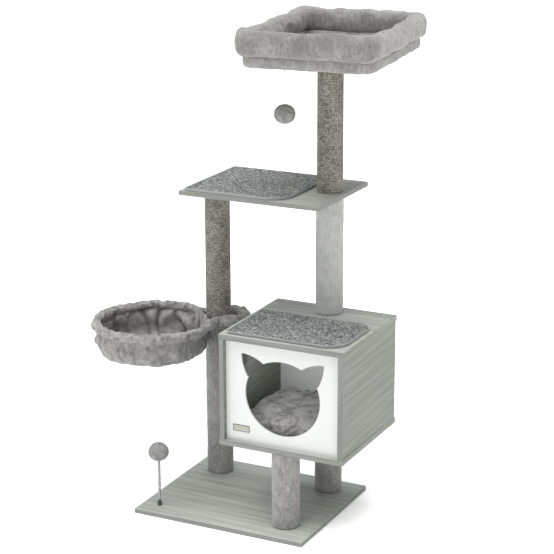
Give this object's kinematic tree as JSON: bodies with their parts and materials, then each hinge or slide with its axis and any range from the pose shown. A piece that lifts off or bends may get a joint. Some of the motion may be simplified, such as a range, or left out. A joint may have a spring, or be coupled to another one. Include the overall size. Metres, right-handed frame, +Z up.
{
  "type": "cat tree",
  "caption": "Tall cat tree on a flat base board: rope and plush posts, a boxed cabin with a cat-head door, carpeted shelf, bolster bed on top, hoop basket and two plush ball toys.",
  "frame": {"origin": "centre of the base board's underside, on the floor", "axes": "+Z up, -Y towards the cabin's cat-head door, +X towards the cabin's side of the base"},
  "size_m": [0.8421, 0.61, 1.2899],
  "materials": {
    "laminate": "grey wood-grain laminate on board, satin",
    "white_board": "smooth white board, satin",
    "raw_wood": "unfinished softwood",
    "cardboard": "wound tube board",
    "grey_plush": "short crushed plush",
    "pale_plush": "short pale plush",
    "rope": "twisted grey sisal rope",
    "carpet": "speckled cut-pile carpet with a bound edge",
    "cord": "thin elastic cord",
    "zinc_steel": "zinc plated",
    "spring_steel": "bright spring wire",
    "label_metal": "thin pressed plate",
    "black_plastic": "moulded, matte"
  },
  "bodies": {
    "stand": {"base_board": "laminate", "panel_bolts": "zinc_steel", "bolt_washers": "zinc_steel", "joining_studs": "zinc_steel", "insert_nuts": "zinc_steel", "post_end_plugs": "black_plastic", "left_lower_core": "cardboard", "left_lower_plush": "pale_plush", "left_upper_core": "cardboard", "left_upper_rope": "rope", "front_leg_core": "cardboard", "front_leg_plush": "grey_plush", "rear_leg_core": "cardboard", "rear_leg_plush": "grey_plush", "rear_mid_core": "cardboard", "rear_mid_plush": "pale_plush", "top_post_core": "cardboard", "top_post_rope": "rope", "cabin_floor": "laminate", "cabin_roof": "laminate", "cabin_left_side": "laminate", "cabin_right_side": "laminate", "cabin_back": "white_board", "cabin_front": "white_board", "cabin_dowels": "raw_wood", "side_screws": "zinc_steel", "label_plate": "label_metal", "cabin_cushion": "grey_plush", "roof_mat": "carpet", "shelf_board": "laminate", "shelf_mat": "carpet", "bed_board": "raw_wood", "bed_base_cover": "grey_plush", "bed_bolster": "grey_plush", "bed_pad": "grey_plush", "spring_socket": "black_plastic", "toy_eye": "zinc_steel"},
    "basket": {"hoop_wire": "zinc_steel", "hoop_plate": "zinc_steel", "rim_sleeve": "grey_plush", "collar_sleeve": "grey_plush", "basket_bag": "grey_plush"},
    "spring_lower": {"lower_spring": "spring_steel"},
    "spring_upper": {"upper_spring": "spring_steel", "spring_ball": "grey_plush"},
    "toy_link": {"toy_ring": "zinc_steel"},
    "hanging_toy": {"toy_knot": "cord", "toy_cord": "cord", "toy_ball": "grey_plush"}
  },
  "joints": [
    {"name": "basket_swivel", "type": "hinge", "parent": "stand", "child": "basket", "pos_m": [-0.166, 0.132, 0.463], "axis": [0, 0, 1], "range_deg": [-125, 38]},
    {"name": "spring_bend_fore_aft", "type": "hinge", "parent": "stand", "child": "spring_lower", "pos_m": [-0.197, -0.153, 0.03], "axis": [1, 0, 0], "range_deg": [-20, 20], "stiffness_Nm_per_rad": 0.6},
    {"name": "spring_bend_side", "type": "hinge", "parent": "spring_lower", "child": "spring_upper", "pos_m": [-0.197, -0.153, 0.084], "axis": [0, 1, 0], "range_deg": [-30, 30], "stiffness_Nm_per_rad": 0.4},
    {"name": "toy_swing_fore_aft", "type": "hinge", "parent": "stand", "child": "toy_link", "pos_m": [0.1, 0, 1.186], "axis": [1, 0, 0], "range_deg": [-45, 45]},
    {"name": "toy_swing_side", "type": "hinge", "parent": "toy_link", "child": "hanging_toy", "pos_m": [0.1, 0, 1.1802], "axis": [0, 1, 0], "range_deg": [-45, 45]}
  ]
}
